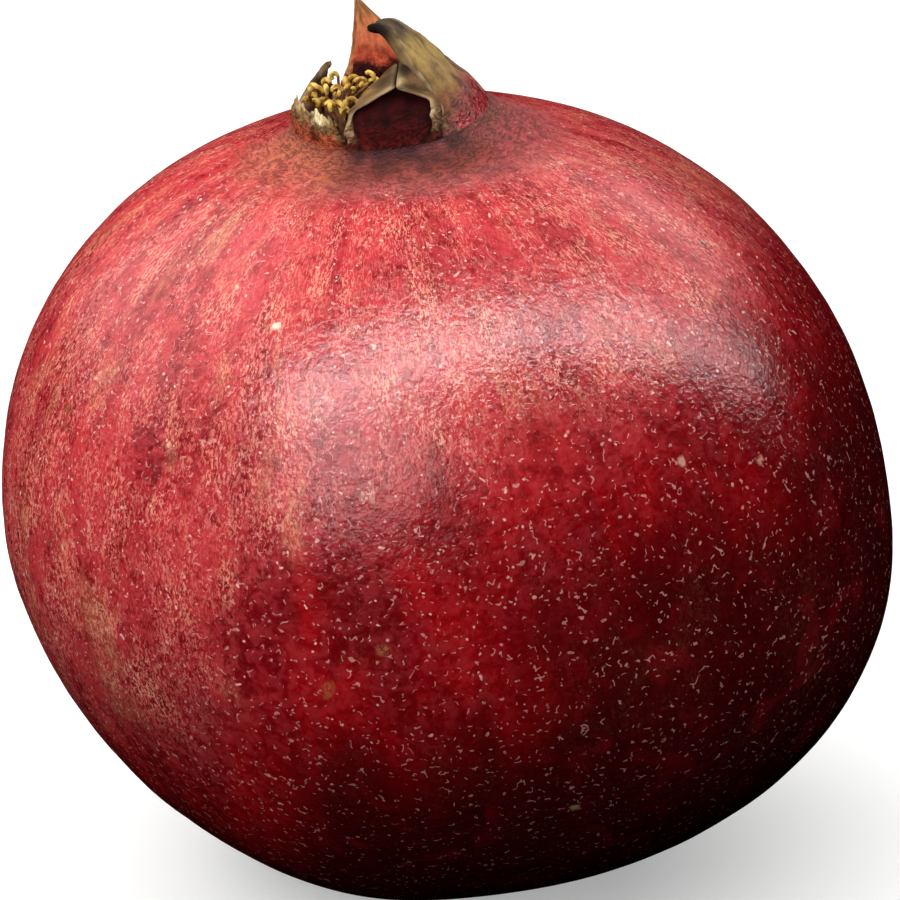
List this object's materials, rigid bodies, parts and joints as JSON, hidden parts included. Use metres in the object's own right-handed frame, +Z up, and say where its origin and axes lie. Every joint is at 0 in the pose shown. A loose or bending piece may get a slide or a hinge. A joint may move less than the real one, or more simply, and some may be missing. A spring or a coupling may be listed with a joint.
{
  "type": "pomegranate",
  "caption": "Whole ripe pomegranate with a leathery red rind, a short calyx crown of pointed sepals and a tuft of dried stamens, resting on its stem end.",
  "frame": {"origin": "centre of the whole fruit's bounding box seen from above, on the plane that it rests on", "axes": "+Z up from the resting ring to the crown, -Y towards the viewer of the picture, +X to that viewer's right"},
  "size_m": [0.0932, 0.0912, 0.0942],
  "materials": {
    "rind": "satin",
    "dried_stamens": "matte",
    "stalk_wood": "matte"
  },
  "bodies": {
    "root": {"fruit": "rind", "stamens": "dried_stamens", "stalk_stub": "stalk_wood"}
  },
  "joints": []
}
